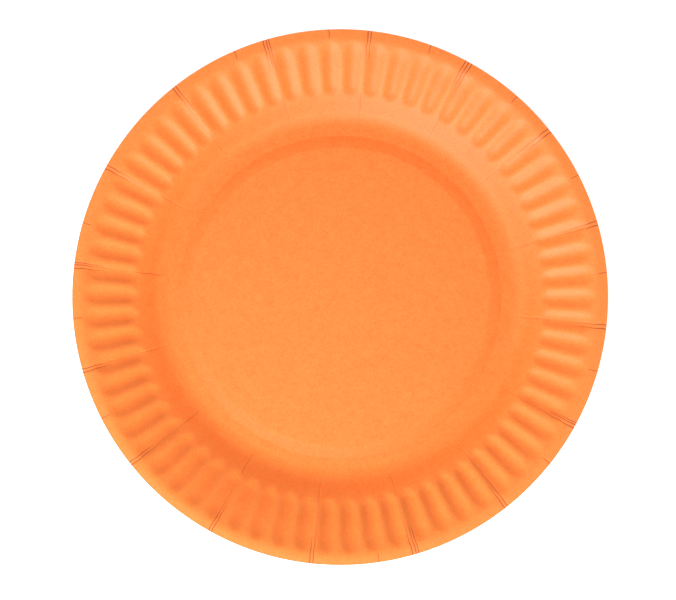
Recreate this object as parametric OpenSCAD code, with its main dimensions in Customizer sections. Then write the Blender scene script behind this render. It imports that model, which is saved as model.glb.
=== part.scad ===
/* [Board] */
// Thickness of the pressed board
board_t = 0.45; // [0.3:0.05:0.6]

/* [Plate] */
// Outer diameter of the plate
plate_d = 230; // [180:1:260]
// Height of the plate, from the foot ring to the edge
plate_h = 15.6; // [12:0.2:22]

/* [Dish] */
// Height of the flat panel in the middle, above the foot ring
panel_rise = 0.7; // [0.4:0.1:2]
// Width of the step from the panel down to the foot ring
step_w = 5; // [4:0.25:8]
// Width of the foot ring
foot_w = 7.9; // [5:0.1:12]
// Width of the wall, from the foot ring to the brim
wall_w = 9; // [6:0.5:14]
// Height of the board's middle line at the top of the wall
wall_h = 5.2; // [3:0.1:8]
// Bend radius at the edge of the panel
panel_bend = 10; // [2:1:20]
// Bend radius where the step meets the foot ring
foot_bend = 5; // [1:0.5:12]
// Bend radius at the foot of the wall
wall_bend = 14; // [6:1:18]

/* [Brim] */
// Width of the brim, from the wall to the edge of the plate
brim_w = 28.5; // [24:0.5:36]
// Width over which the brim bends level, up to its edge
level_w = 7.5; // [3:0.5:12]
// How much steeper the brim starts than it goes on, as rise per run
brim_ease = 0.16; // [0:0.02:0.3]

/* [Flutes] */
// Number of flutes round the brim
flute_n = 66; // [48:1:70]
// Depth of a flute below the brim
flute_depth = 0.9; // [0.5:0.1:1.5]
// Width of the plain lip between the outer ends of the flutes and the edge
lip_w = 4.2; // [2.5:0.1:8]
// Length over which the inner end of a flute runs out
flute_in_end = 3.6; // [1.5:0.1:6]
// Length over which the outer end of a flute runs out
flute_out_end = 4.8; // [2:0.1:8]
// Width of a flute's trough, as a share of the pitch
trough_share = 0.4; // [0.2:0.02:0.5]
// Width of a flute at the brim, as a share of the pitch
flute_share = 0.84; // [0.6:0.02:0.9]
// Depth at the sides of the trough, as a share of the flute's depth
trough_side = 0.78; // [0.6:0.02:1]
// Turn of the flutes about the axis
flute_turn = -0.44; // [-2.7:0.02:2.7]

/* [Pleats] */
// Number of pleats round the plate
pleat_n = 16; // [12:1:24]
// Width of a pleat's tuck at the edge of the plate, from fold to fold
pleat_w = 1.7; // [0.8:0.1:3]
// Width of the crease that a pleat leaves on the wall
crease_w = 0.5; // [0.3:0.1:1]
// Step of the board at a pleat
pleat_step = 0.12; // [0.06:0.02:0.16]
// Turn of the pleats about the axis
pleat_turn = 16; // [0:0.1:22.5]

/* [Hidden] */
$fn = 180;
// Flat steps that each bend of the section is drawn in
bend_steps = 6;
// How far the fluted band reaches into the dish and into the lip
tongue = 1;
// How far the band's faces lie under those of the dish and the lip there
sink = 0.03;
// Run of plain brim between the ends of the flutes and the dish or the lip
land = 0.2;
// More than any step of the board, for cuts that clear its faces
clear = 0.5;

// Radii from the edge inwards
plate_r = plate_d / 2;
level_r = plate_r - level_w;
brim_r = plate_r - brim_w;
wall_r = brim_r - wall_w;
foot_r = wall_r - foot_w;
panel_r = foot_r - step_w;
flute_out_r = plate_r - lip_w;
flute_in_r = brim_r + land;
lip_r = flute_out_r + land;

// Slopes of the middle line along the wall and the brim, as rise per run
rise = plate_h - board_t / 2 - wall_h;
brim_run = level_r - brim_r;
slope_wall = (wall_h - board_t / 2) / wall_w;
slope_out = (rise - brim_run * brim_ease / 2) / (brim_run + level_w / 2);
slope_in = slope_out + brim_ease;

function mix(a, b, t) = a + (b - a) * t;

// Slope of the middle line at a radius on the upper wall or the brim, level at the edge
function slope(r) =
    r < brim_r ? slope_wall
    : r < level_r ? mix(slope_in, slope_out, (r - brim_r) / brim_run)
    : mix(slope_out, 0, (r - level_r) / level_w);

// Height of the middle line there, each stretch of the brim being a parabola
function height(r) =
    r < brim_r ? wall_h + (r - brim_r) * slope_wall
    : r < level_r ? wall_h + (r - brim_r) * (slope_in + slope(r)) / 2
    : level_h + (r - level_r) * (slope_out + slope(r)) / 2;
level_h = wall_h + brim_run * (slope_in + slope_out) / 2;

// Point of the brim at a radius, side above the middle line and square to it
function brim_point(r, side) =
    let (a = atan(slope(r)))
    [r - side * sin(a), height(r) + side * cos(a)];

// Corners of the middle line of the dish, from the axis to its outer end
corners = [
    [0, panel_rise + board_t / 2],
    [panel_r, panel_rise + board_t / 2],
    [foot_r, board_t / 2],
    [wall_r, board_t / 2],
    [brim_r, wall_h],
];
bends = [0, panel_bend, foot_bend, wall_bend, 0];

function heading(a, b) = atan2(b[1] - a[1], b[0] - a[0]);
function above(a, side) = side * [-sin(a), cos(a)];
function reverse(list) = [for (i = [len(list) - 1:-1:0]) list[i]];

// Points of the bend at corner i, on the line that lies side above the middle
function bend(i, side) =
    let (
        a = heading(corners[i - 1], corners[i]),
        turn = heading(corners[i], corners[i + 1]) - a,
        r = bends[i] * sign(turn),
        start = corners[i] - abs(r * tan(turn / 2)) * [cos(a), sin(a)],
        centre = start + above(a, r)
    )
    [for (k = [0:bend_steps]) centre - above(a + turn * k / bend_steps, r - side)];

function dish_line(side) =
    let (last = len(corners) - 1)
    concat(
        [corners[0] + above(0, side)],
        [for (i = [1:last - 1]) each bend(i, side)],
        [corners[last] + above(heading(corners[last - 1], corners[last]), side)]
    );

// Line of the lip out to radius r
function lip_line(side, r) =
    [for (k = [0:bend_steps]) brim_point(mix(lip_r, r, k / bend_steps), side)];

// Stretch of the wall that carries the creases, as shares of its length
crease_from = 0.45;
crease_to = 0.92;
function crease_line(side) =
    [for (share = [crease_from, crease_to])
        mix(corners[3], corners[4], share) + above(heading(corners[3], corners[4]), side)];

module between(low, high) {
    polygon(concat(high, reverse(low)));
}

// A slice of the board, as wide as w at radius r, at every pleat
module at_pleats(w, r) {
    angle = w / r * 180 / PI;
    for (i = [0:pleat_n - 1])
        rotate([0, 0, pleat_turn + 360 / pleat_n * i - angle / 2])
            rotate_extrude(angle = angle)
                children();
}

// Panel, step, foot ring and wall, with the creases that the pleats leave on the wall
module dish() {
    difference() {
        rotate_extrude()
            between(dish_line(-board_t / 2), dish_line(board_t / 2));
        at_pleats(crease_w, brim_r)
            between(crease_line(board_t / 2 - pleat_step), crease_line(board_t / 2 + clear));
    }
}

// Plain lip outside the flutes, stepped down where the board is tucked into pleats
module lip() {
    difference() {
        rotate_extrude()
            between(lip_line(-board_t / 2, plate_r), lip_line(board_t / 2, plate_r));
        at_pleats(pleat_w, plate_r)
            between(
                lip_line(board_t / 2 - pleat_step, plate_r + clear),
                lip_line(board_t / 2 + clear, plate_r + clear)
            );
    }
}

// Lines along a flute from one side to the other: place as a share of the pitch, and depth
flute_lines = [
    [-flute_share / 2, 0],
    [-trough_share / 2, trough_side],
    [0, 1],
    [trough_share / 2, trough_side],
    [flute_share / 2, 0],
];
lines = len(flute_lines);

// Rows of the fluted band: radius, share of the depth, share of the width, half thickness
flute_run = flute_out_r - flute_out_end - flute_in_r - flute_in_end;
// Shares of a flute's depth and width, part of the way along its outer end
end_way = 0.6;
end_depth = 0.72;
end_width = 0.76;
band_rows = [
    [brim_r - tongue, 0, end_width, board_t / 2 - 2 * sink],
    [flute_in_r, 0, end_width / 2, board_t / 2 - sink],
    [flute_in_r + flute_in_end, 1, 1, board_t / 2],
    [flute_in_r + flute_in_end + flute_run / 2, 1, 1, board_t / 2],
    [flute_out_r - flute_out_end, 1, 1, board_t / 2],
    [flute_out_r - flute_out_end * (1 - end_way), end_depth, end_width, board_t / 2],
    [flute_out_r, 0, end_width / 2, board_t / 2 - sink],
    [flute_out_r + tongue, 0, end_width, board_t / 2 - 2 * sink],
];

function band_ring(row, side) =
    [for (i = [0:flute_n - 1]) for (line = flute_lines)
        let (
            turn = flute_turn + 360 / flute_n * (i + line[0] * row[2]),
            p = brim_point(row[0], side * row[3] - flute_depth * row[1] * line[1])
        )
        [p[0] * cos(turn), p[0] * sin(turn), p[1]]
    ];

// The fluted brim, lofted through its rows, upper face first
module band() {
    rows = len(band_rows);
    n = lines * flute_n;
    points = [for (side = [1, -1]) for (row = band_rows) each band_ring(row, side)];
    low = rows * n;
    upper = [for (j = [0:rows - 2]) for (i = [0:n - 1])
        let (
            a = j * n + i,
            b = j * n + (i + 1) % n,
            rising = i % lines >= (lines - 1) / 2
        )
        each (rising ? [[a, b, a + n], [b, b + n, a + n]] : [[a, b, b + n], [a, b + n, a + n]])
    ];
    ends = [for (i = [0:n - 1])
        let (a = i, b = (i + 1) % n, c = (rows - 1) * n + a, d = (rows - 1) * n + b)
        each [[a, a + low, b], [b, a + low, b + low], [c, d, c + low], [d, d + low, c + low]]
    ];
    under = [for (f = upper) [f[0] + low, f[2] + low, f[1] + low]];
    polyhedron(points, concat(upper, ends, under));
}

module plate() {
    color("darkorange")
    union() {
        dish();
        band();
        lip();
    }
}

plate();
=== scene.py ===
import math
from bisect import bisect_left
from collections import namedtuple

import bpy
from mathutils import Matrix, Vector


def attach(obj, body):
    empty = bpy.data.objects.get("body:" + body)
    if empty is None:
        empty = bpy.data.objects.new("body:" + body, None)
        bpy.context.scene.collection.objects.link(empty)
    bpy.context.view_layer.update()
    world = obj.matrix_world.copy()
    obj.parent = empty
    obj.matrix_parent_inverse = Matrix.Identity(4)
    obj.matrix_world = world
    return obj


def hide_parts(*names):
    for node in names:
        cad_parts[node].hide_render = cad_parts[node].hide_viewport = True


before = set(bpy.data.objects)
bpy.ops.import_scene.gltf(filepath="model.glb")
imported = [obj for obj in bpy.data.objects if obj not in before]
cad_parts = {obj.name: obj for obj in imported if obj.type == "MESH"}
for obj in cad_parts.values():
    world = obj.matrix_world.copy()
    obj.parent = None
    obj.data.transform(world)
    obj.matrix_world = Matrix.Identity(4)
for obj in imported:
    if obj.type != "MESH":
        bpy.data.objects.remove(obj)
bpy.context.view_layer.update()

# The plate is one disc of thin board, stamped out flat and pressed between heated dies.
# The dies raise the panel in the middle, bend up the wall and press flutes into the brim,
# and the board that is left over at the edge folds into fine pleats.
MM = 0.001
BOARD = 0.45 * MM
HALF_BOARD = BOARD / MM / 2
PLATE_R, PLATE_H = 115.0, 15.6
FOOT_R = 69.6
BRIM_R, BRIM_H = 86.5, 5.2
PANEL_RISE = 0.7

# Corners of the board's middle line up to the brim, in millimetres: radius, height, radius
# of the bend there, and how many flat steps that bend is drawn in
DISH_CORNERS = [
    (0.0, PANEL_RISE + HALF_BOARD, 0.0, 0),
    (64.6, PANEL_RISE + HALF_BOARD, 10.0, 5),
    (FOOT_R, HALF_BOARD, 5.0, 4),
    (76.8, HALF_BOARD, 14.0, 7),
    (BRIM_R, BRIM_H, 0.0, 0),
]
# The brim starts steeper than it goes on, bends over from BEND_R and is level from LIP_R
BEND_R, LIP_R = 109.1, 112.7
BRIM_EASE = 0.19

# Where rings of vertices lie on the panel, as shares of the wall, and on the brim, and how
# far the brim's stay clear of the wall's last one
PANEL_RINGS = [20.0, 44.0]
WALL_SHARES = [0.3, 0.6, 0.85]
BRIM_RINGS = [
    86.2, 86.9, 87.6, 88.3, 89.0, 89.8, 90.8, 92.5, 95.5, 98.5, 101.5, 104.0, 105.3, 106.4,
    107.3, 108.1, 108.9, 109.6, 110.3, 111.0, 111.8, 112.7, 113.6, 114.4, PLATE_R,
]
RING_GAP = 0.3


def bent_line(corners):
    """Points of the line through the corners, with an arc at each corner that has a bend."""
    points = []
    for before, corner, after in zip(corners, corners[1:], corners[2:]):
        into = math.atan2(corner[1] - before[1], corner[0] - before[0])
        turn = math.atan2(after[1] - corner[1], after[0] - corner[0]) - into
        radius = math.copysign(corner[2], turn)
        reach = abs(radius * math.tan(turn / 2))
        x = corner[0] - reach * math.cos(into) - radius * math.sin(into)
        z = corner[1] - reach * math.sin(into) + radius * math.cos(into)
        for step in range(corner[3] + 1):
            angle = into + turn * step / corner[3]
            points.append((x + radius * math.sin(angle), z - radius * math.cos(angle)))
    return points


def brim_height(r):
    """Height of the middle line on the brim, over its bend and out along the level lip."""
    brim_run, bend_run = BEND_R - BRIM_R, LIP_R - BEND_R
    rise = PLATE_H - HALF_BOARD - BRIM_H
    slope = (rise - brim_run * BRIM_EASE / 2) / (brim_run + bend_run / 2)
    if r < BEND_R:
        way = r - BRIM_R
        return BRIM_H + way * (slope + BRIM_EASE * (1 - way / brim_run / 2))
    left = max(0.0, LIP_R - r)
    return PLATE_H - HALF_BOARD - left * slope * left / bend_run / 2


rings = [(r, DISH_CORNERS[0][1]) for r in PANEL_RINGS] + bent_line(DISH_CORNERS)
wall_from, wall_to = rings[-1], (BRIM_R, BRIM_H)
for share in WALL_SHARES:
    rings.append(tuple(a + (b - a) * share for a, b in zip(wall_from, wall_to)))
rings += [(r, brim_height(r)) for r in BRIM_RINGS if r > rings[-1][0] + RING_GAP]

# Each pleat is two or three hair-thin folds close together: its angle in degrees, the
# folds' places from there, and how far they lean over the last ten millimetres. Between
# two pleats the board may have one short crease at its very edge.
FLUTES = 66
FLUTE_TURN = -0.44
COLUMNS_PER_FLUTE = 12
PLEATS = [
    (16.3, (-0.70, 0.20), 0.0), (38.8, (-0.68, 0.25), 0.0),
    (61.3, (-0.58, 0.18, 0.90), -0.2), (83.8, (-0.57, 0.12), 0.0),
    (106.3, (-0.68, -0.10, 0.57), -0.1), (128.5, (-0.68, 0.06), 0.2),
    (151.0, (-0.68, 0.14), 0.15), (173.2, (-0.75, -0.28, 0.45), 0.05),
    (196.0, (-0.42, 0.34), 0.05), (218.6, (-0.38, 0.40), -0.1),
    (240.9, (-0.20, 0.48), -0.2), (263.7, (-0.32, 0.40), 0.0),
    (286.4, (-0.65, 0.12, 0.72), 0.1), (308.6, (-0.45, 0.28), -0.1),
    (331.2, (-0.57, 0.20, 0.68), 0.05), (353.6, (-0.58, 0.30), 0.1),
]
LIP_CREASES = [
    5.3, 27.2, 48.6, 70.1, 92.4, 113.3, 163.8, 184.5, 207.0, 278.4, 321.6, 343.9,
]
# In degrees, from the middle of a fold or a pleat: where the fold ends, where the pleat ends,
# and how far out the board is still pulled along with the pleat
FOLD_HALF = 0.15
PLEAT_HALF = 1.05
PLEAT_PULL = 3.2

# One column of vertices for each angle: its pleat's number, which is None away from pleats
# and below 0 on a lip crease, its place from the pleat's middle, and how much of a fold it is
Column = namedtuple("Column", "angle pleat place fold")


def away(angle, middle):
    """Degrees from middle to angle, the short way round."""
    return (angle - middle + 180) % 360 - 180


columns = []
for count in range(FLUTES * COLUMNS_PER_FLUTE):
    angle = FLUTE_TURN + 360 / FLUTES * count / COLUMNS_PER_FLUTE
    number = min(range(len(PLEATS)), key=lambda i: abs(away(angle, PLEATS[i][0])))
    place = away(angle, PLEATS[number][0])
    if min(abs(away(angle, middle)) for middle in LIP_CREASES) <= 2 * FOLD_HALF:
        continue
    if abs(place) > PLEAT_PULL:
        columns.append(Column(angle % 360, None, 0.0, 0.0))
    elif abs(place) > PLEAT_HALF:
        columns.append(Column(angle % 360, number, place, 0.0))
for number, (middle, folds, lean) in enumerate(PLEATS):
    inside = {f + side * FOLD_HALF: 1.0 - abs(side) for f in folds for side in (-1, 0, 1)}
    if len(folds) == 2:
        inside[sum(folds) / 2] = 0.0
    for place, fold in inside.items():
        columns.append(Column((middle + place) % 360, number, place, fold))
for number, middle in enumerate(LIP_CREASES):
    for side in (-1, 0, 1):
        angle = (middle + side * FOLD_HALF) % 360
        columns.append(Column(angle, -1 - number, 0.0, 1.0 - abs(side)))
columns.sort(key=lambda column: column.angle)
column_angles = [column.angle for column in columns]

# The disc is drawn as rings of board, from the middle of the panel out to the edge
bpy.ops.object.select_all(action="DESELECT")
bpy.ops.mesh.primitive_circle_add(
    vertices=len(columns), radius=rings[0][0] * MM, fill_type="NGON",
    location=(0, 0, rings[0][1] * MM),
)
plate = bpy.context.object
plate.name = "paper_plate"
bpy.ops.object.transform_apply(location=True, rotation=True, scale=True)
for vertex, column in zip(plate.data.vertices, columns):
    turn = math.radians(column.angle)
    vertex.co.x = rings[0][0] * MM * math.cos(turn)
    vertex.co.y = rings[0][0] * MM * math.sin(turn)

bpy.ops.object.mode_set(mode="EDIT")
bpy.ops.mesh.select_mode(type="EDGE")
bpy.ops.mesh.select_all(action="SELECT")
bpy.ops.mesh.region_to_loop()
for (r, z), (next_r, next_z) in zip(rings, rings[1:]):
    bpy.ops.mesh.extrude_edges_move(
        TRANSFORM_OT_translate={"value": (0, 0, (next_z - z) * MM)}
    )
    bpy.ops.transform.resize(
        value=(next_r / r, next_r / r, 1), center_override=(0, 0, next_z * MM)
    )
bpy.ops.object.mode_set(mode="OBJECT")
if plate.data.polygons[0].normal.z < 0:
    plate.data.flip_normals()

# The flutes are round troughs that run out at both ends, pressed in by the dies' ribs
FLUTE_DEPTH = 1.05
FLUTE_IN, FLUTE_OUT = 86.4, 110.9
FLUTE_IN_END, FLUTE_OUT_END = 5.4, 7.4
FLUTE_HALF, FLUTE_ROUND = 0.47, 1.6

# The folds are much shallower, and how strongly each shows goes by the radius. A fade is two
# radii: at the first there is nothing of what it is for, and at the second all of it.
FOLD_DEPTH = 0.06
FOLD_SHOWS = [
    (76.0, 0.0), (79.0, 0.35), (84.0, 0.62), (88.5, 0.35), (91.5, 0.14), (97.0, 0.16),
    (102.0, 0.50), (106.0, 0.70), (109.0, 0.85), (112.0, 1.25),
]
# How much more strongly some pleats, by number, crease the wall
SHARP_CREASES = {4: 0.5, 6: 0.7, 7: 2.2, 8: 0.6, 9: 0.7, 10: 0.7, 15: 0.6}
SHARP_FADE = (90.0, 88.0)
# Only one fold of a pleat goes on to the wall; the others stop short of the flutes
SIDE_FOLD_FADE = (101.0, 104.0)
LIP_CREASE_SHOWS = 0.85
LIP_CREASE_FADE = (110.6, 111.6)
# Between its outer folds a pleat is tucked down as a whole, by this share of FOLD_DEPTH
TUCK = 0.7
TUCK_FADE = (103.0, 109.0)

# No fold runs quite straight: in degrees, each wanders in a wave of its own, pleats gather
# narrower inwards, and over the last stretch they lean to one side
WANDER = 0.05
WANDER_WAVE, WANDER_SHIFT = 0.9, 1.7
GATHER = 0.3
GATHER_FADE = (112, 86)
LEAN_FROM, LEAN_RUN = 105, 10
# Slack for telling which column or fold an angle belongs to
COLUMN_SLACK, FOLD_SLACK = 0.001, 0.01

# Tone of the ink from the middle outwards, with painted light in it: darker over the step,
# the foot ring and the wall, as painted shade in the hollows, and paler on the brim and the
# lip, as painted light. Along the grooves a painted shade is taken off it, which leaves the
# ridges paler.
TONES_AND_PAINTED_LIGHT = [
    (20.0, 0.52), (63.5, 0.48), (67.0, 0.26), (68.8, 0.23), (70.4, 0.37), (75.0, 0.37),
    (78.8, 0.47), (82.2, 0.33), (87.6, 0.50), (90.8, 0.67), (107.0, 0.69), (111.0, 0.58),
    (113.3, 0.68), (115.0, 0.70),
]
# Painted shade along the grooves: their floors are made darker in the colour, as if in shade
GROOVE_PAINTED_SHADE = 0.18


def smooth(low, high, value):
    """0 at low and 1 at high, with an even swing between them."""
    t = min(1.0, max(0.0, (value - low) / (high - low)))
    return t * t * (3 - 2 * t)


def value_at(stops, r):
    """Value at a radius, between the two nearest stops of the list."""
    for (r0, t0), (r1, t1) in zip(stops, stops[1:]):
        if r < r1:
            return t0 + (t1 - t0) * smooth(r0, r1, r)
    return stops[-1][1]


def flute_mark(angle, r):
    """How deep the flutes' die reaches here, from 0 on the ridges to 1 along the grooves."""
    across = ((angle - FLUTE_TURN) / (360 / FLUTES) + 0.5) % 1 - 0.5
    past = max(
        (FLUTE_IN + FLUTE_IN_END - r) / FLUTE_IN_END,
        (r - FLUTE_OUT + FLUTE_OUT_END) / FLUTE_OUT_END, 0.0,
    )
    return max(0.0, 1 - (across / FLUTE_HALF) ** 2 - past ** 2) ** FLUTE_ROUND


def fold_strength(column, r):
    """How strong a fold is along its length: firm on the lip and faint over the flutes."""
    if column.pleat is None or abs(column.place) > PLEAT_HALF:
        return 0.0
    if column.pleat < 0:
        return LIP_CREASE_SHOWS * smooth(*LIP_CREASE_FADE, r)
    folds = PLEATS[column.pleat][1]
    main = folds[1] if column.pleat % 2 else folds[0]
    shows = value_at(FOLD_SHOWS, r)
    if abs(column.place - main) > FOLD_HALF * 1.5:
        return shows * smooth(*SIDE_FOLD_FADE, r)
    return shows * (1 + SHARP_CREASES.get(column.pleat, 0) * smooth(*SHARP_FADE, r))


mesh = plate.data
marks = {"flutes": {}, "pleats": {}}
fold_shade_values = [0.0] * len(mesh.vertices)
tone_and_shade_values = [0.0] * len(mesh.vertices)
for vertex in mesh.vertices:
    r = math.hypot(vertex.co.x, vertex.co.y) / MM
    # painted shade and painted light by radius go into the colour here
    tone_and_shade_values[vertex.index] = value_at(TONES_AND_PAINTED_LIGHT, r)
    if r < FOOT_R:
        continue
    angle = math.degrees(math.atan2(vertex.co.y, vertex.co.x)) % 360
    spot = bisect_left(column_angles, angle - COLUMN_SLACK) % len(columns)
    column = columns[spot]
    press = fold_strength(column, r) * column.fold
    # the fold's painted shade in the colour goes by its strength here
    fold_shade_values[vertex.index] = press
    if column.pleat is not None:
        shift = WANDER * math.sin(WANDER_WAVE * r + WANDER_SHIFT * column.pleat)
        if column.pleat >= 0:
            middle, folds, lean = PLEATS[column.pleat]
            pull = smooth(PLEAT_PULL, PLEAT_HALF, abs(column.place))
            edge = max(-PLEAT_HALF, min(PLEAT_HALF, column.place))
            gather = GATHER * smooth(*GATHER_FADE, r)
            leaning = lean * max(0.0, r - LEAN_FROM) / LEAN_RUN
            shift = (leaning + shift - edge * gather) * pull
            if folds[0] - FOLD_SLACK < column.place < folds[-1] + FOLD_SLACK:
                press = max(press, TUCK * smooth(*TUCK_FADE, r))
        angle += shift
        turn = math.radians(angle)
        vertex.co.x = r * MM * math.cos(turn)
        vertex.co.y = r * MM * math.sin(turn)
    flute = flute_mark(angle, r)
    if flute > 0:
        marks["flutes"][vertex.index] = flute
        # painted shade: each groove's colour is darkened by how deep it reaches here
        tone_and_shade_values[vertex.index] -= GROOVE_PAINTED_SHADE * flute
    if press > 0:
        marks["pleats"][vertex.index] = min(1.0, press)
for name, values in (("fold", fold_shade_values), ("tone_and_shade", tone_and_shade_values)):
    mesh.attributes.new(name, "FLOAT", "POINT")
    mesh.attributes[name].data.foreach_set("value", values)
mesh.update()

for name, depth in (("flutes", FLUTE_DEPTH), ("pleats", FOLD_DEPTH)):
    group = plate.vertex_groups.new(name=name)
    for index, weight in marks[name].items():
        group.add([index], weight, "REPLACE")
    dent = plate.modifiers.new("press_" + name, "DISPLACE")
    dent.vertex_group = name
    dent.mid_level = 0
    dent.strength = -depth * MM
    bpy.ops.object.modifier_apply(modifier=dent.name)
body = plate.modifiers.new("board", "SOLIDIFY")
body.thickness = BOARD
body.offset = 0
body.material_offset = 1
body.material_offset_rim = 2


class Wire:
    """An output socket of a material's node, on which arithmetic adds Math nodes."""

    def __init__(self, tree, socket=None):
        self.tree = tree
        self.socket = socket

    def node(self, kind, settings=None, sockets=None, output=0):
        """Adds a node of this type, with its settings and its sockets' values or links."""
        made = self.tree.nodes.new("ShaderNode" + kind)
        for key, value in (settings or {}).items():
            setattr(made, key, value)
        for key, value in (sockets or {}).items():
            if isinstance(value, Wire):
                self.tree.links.new(value.socket, made.inputs[key])
            else:
                made.inputs[key].default_value = value
        return Wire(self.tree, made.outputs[output]) if made.outputs else made

    def math(self, operation, first, second):
        return self.node("Math", {"operation": operation}, {0: first, 1: second})

    def __add__(self, other):
        return self.math("ADD", self, other)

    __radd__ = __add__

    def __sub__(self, other):
        return self.math("SUBTRACT", self, other)

    def __rsub__(self, other):
        return self.math("SUBTRACT", other, self)

    def __mul__(self, other):
        return self.math("MULTIPLY", self, other)

    __rmul__ = __mul__


def new_material(name):
    """An empty node material, and a wire to build it from."""
    material = bpy.data.materials.new(name)
    material.use_nodes = True
    material.node_tree.nodes.clear()
    return material, Wire(material.node_tree)


def fibres(wire, scale, detail, roughness):
    """Noise that lies fixed in the board, finer with a larger scale."""
    place = wire.node("TexCoord", output="Object")
    return wire.node(
        "TexNoise",
        sockets={"Vector": place, "Scale": scale, "Detail": detail, "Roughness": roughness},
    )


def between(share, first, second):
    """Colour that goes from the first to the second as the share goes from 0 to 1."""
    return share.node("Mix", {"data_type": "RGBA"}, {0: share, 6: first, 7: second}, output=2)


def finish_board(wire, color, roughness, specular, relief, height):
    """Board's surface: a broad soft sheen, with its fibres as a very low relief."""
    normal = wire.node("Bump", sockets={"Strength": 1.0, "Distance": relief, "Height": height})
    surface = wire.node(
        "BsdfPrincipled",
        sockets={
            "Base Color": color, "Roughness": roughness, "Normal": normal,
            "Specular IOR Level": specular,
        },
    )
    wire.node("OutputMaterial", sockets={"Surface": surface})


# The printed side: flat orange ink, rolled on to uncoated board before it is pressed. The
# board's fibres show through it as a fine mottle, and each fold is painted as a dark line of
# shade.
ORANGE_DEEP = (1.0, 0.159, 0.001, 1)
ORANGE_PALE = (1.0, 0.278, 0.046, 1)
# A fold's colour is painted shade, the dark of its crease
FOLD_PAINTED_SHADE = (0.36, 0.020, 0.003, 1)
MOTTLE = 0.45
GRAIN_SHARE = 0.7
INK_ROUGH, INK_PATCHY, INK_SHEEN, INK_RELIEF = 0.54, 0.08, 0.62, 0.04 * MM
printed, wire = new_material("orange_board")
grain = fibres(wire, 1300.0, 2.0, 0.6)
cloud = fibres(wire, 260.0, 5.0, 0.65)
# The attribute read here mixes the deep and the pale orange: painted shade over the step, the
# wall and the grooves, painted light on the brim and the lip, and the fibres' mottle
tone_and_shade = wire.node("Attribute", {"attribute_name": "tone_and_shade"}, output="Fac")
tone_and_shade = tone_and_shade + (grain * GRAIN_SHARE + cloud * (1 - GRAIN_SHARE) - 0.5) * (4 * MOTTLE)
# The attribute read here is the folds' painted shade
fold = wire.node("Attribute", {"attribute_name": "fold"}, output="Fac")
ink = between(fold, between(tone_and_shade, ORANGE_DEEP, ORANGE_PALE), FOLD_PAINTED_SHADE)
finish_board(wire, ink, INK_ROUGH + INK_PATCHY * cloud, INK_SHEEN, INK_RELIEF, grain)

# The underside: the same board left bare and white. It has no ink and next to no sheen, and
# its fibres lie a little more open than under the ink.
WHITE, WHITE_DARK = (0.86, 0.85, 0.82, 1), (0.80, 0.785, 0.75, 1)
BARE_ROUGH, BARE_SHEEN, BARE_RELIEF = 0.75, 0.25, 0.05 * MM
bare, wire = new_material("white_board")
grain = fibres(wire, 1200.0, 3.0, 0.6)
color = between(grain, WHITE_DARK, WHITE)
finish_board(wire, color, BARE_ROUGH, BARE_SHEEN, BARE_RELIEF, grain)

# The cut edge, where the die stamped the disc out of the sheet: the board's pale middle,
# with the ink's colour bleeding into it
CUT, CUT_DARK = (0.92, 0.50, 0.25, 1), (0.85, 0.38, 0.14, 1)
CUT_ROUGH, CUT_SHEEN, CUT_RELIEF = 0.8, 0.2, 0.03 * MM
cut, wire = new_material("cut_edge")
fibre = fibres(wire, 2500.0, 2.0, 0.5)
color = between(fibre, CUT_DARK, CUT)
finish_board(wire, color, CUT_ROUGH, CUT_SHEEN, CUT_RELIEF, fibre)

SHARPEST_BEND = 50
for material in (printed, bare, cut):
    plate.data.materials.append(material)
bpy.ops.object.modifier_apply(modifier=body.name)
bpy.ops.object.shade_smooth_by_angle(angle=math.radians(SHARPEST_BEND))
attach(plate, "root")
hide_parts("plate")

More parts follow.
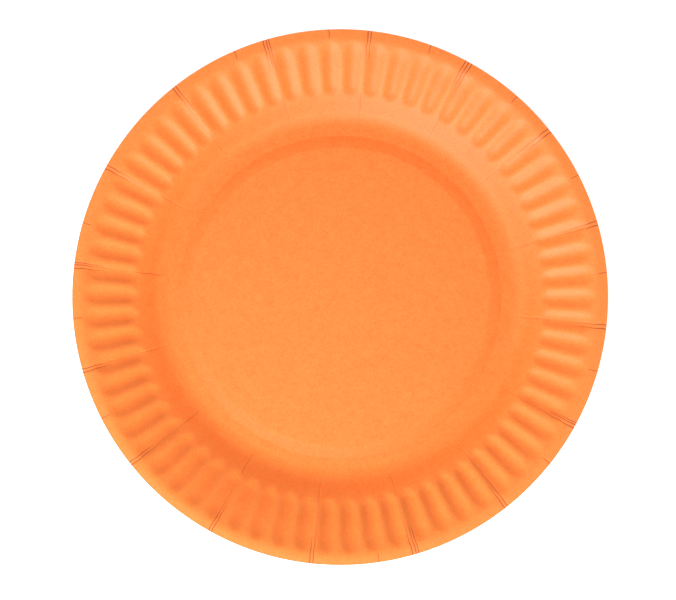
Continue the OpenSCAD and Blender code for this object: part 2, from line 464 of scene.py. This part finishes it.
# The table top that the plate lies on: a plain, pale, matt sheet that keeps the plate's
# shadow, a hair below the foot ring so that the two never coincide. It glows only towards
# the camera and reflections, which makes it white there and lights nothing.
FLOOR_SIZE, FLOOR_DROP = 8, 0.05 * MM
FLOOR_WHITE = (0.80, 0.80, 0.80, 1)
FLOOR_GLOW = 0.77
bpy.ops.object.select_all(action="DESELECT")
bpy.ops.mesh.primitive_plane_add(size=FLOOR_SIZE, location=(0, 0, -FLOOR_DROP))
floor = bpy.context.object
floor.name = "floor"
pale, wire = new_material("pale_floor")
paths = wire.node("LightPath")
seen = Wire(wire.tree, paths.socket.node.outputs["Is Camera Ray"])
glossy = Wire(wire.tree, paths.socket.node.outputs["Is Glossy Ray"])
through = Wire(wire.tree, paths.socket.node.outputs["Is Transmission Ray"])
matt = wire.node("BsdfDiffuse", sockets={"Color": FLOOR_WHITE})
glow = wire.node(
    "Emission",
    sockets={"Color": (1, 1, 1, 1), "Strength": (seen + glossy + through) * FLOOR_GLOW},
)
both = wire.node("AddShader", sockets={0: matt, 1: glow})
wire.node("OutputMaterial", sockets={"Surface": both})
floor.data.materials.append(pale)

# Soft studio light: an even fill from all round, very slightly warm, and one broad lamp that
# stands low at the lower left, given by its direction and distance, and makes the shadows
FILL, FILL_COLOR = 0.60, (1.0, 0.955, 0.93, 1)
KEY_TURN, KEY_RISE, KEY_AWAY = 244, 35, 0.70
KEY_SIZE, KEY_WATTS = 0.40, 6.1
world = bpy.data.worlds.new("studio")
world.use_nodes = True
world.node_tree.nodes["Background"].inputs["Color"].default_value = FILL_COLOR
world.node_tree.nodes["Background"].inputs["Strength"].default_value = FILL
bpy.context.scene.world = world
turn, rise = math.radians(KEY_TURN), math.radians(KEY_RISE)
toward = Vector(
    (math.cos(turn) * math.cos(rise), math.sin(turn) * math.cos(rise), math.sin(rise))
)
bpy.ops.object.light_add(type="AREA", location=toward * KEY_AWAY)
key = bpy.context.object
key.name = "key"
key.data.shape = "DISK"
key.data.size = KEY_SIZE
key.data.energy = KEY_WATTS
key.rotation_euler = toward.to_track_quat("Z", "Y").to_euler()

# The camera looks straight down through a long lens, so far off that the plate's edge fills
# the frame as in the photograph, with the plate a little off centre
LENS, SENSOR = 300, 36
PIXEL = 0.42906 * MM
SHIFT_RIGHT, SHIFT_UP = 2.13, 2.87
FRAME_WIDTH = 676
distance = FRAME_WIDTH * PIXEL * LENS / SENSOR
bpy.ops.object.camera_add(
    location=(-SHIFT_RIGHT * PIXEL, -SHIFT_UP * PIXEL, PLATE_H * MM + distance),
    rotation=(0, 0, 0),
)
camera = bpy.context.object
camera.data.lens = LENS
camera.data.sensor_width = SENSOR
bpy.context.scene.camera = camera
bpy.context.scene.view_settings.view_transform = "Standard"
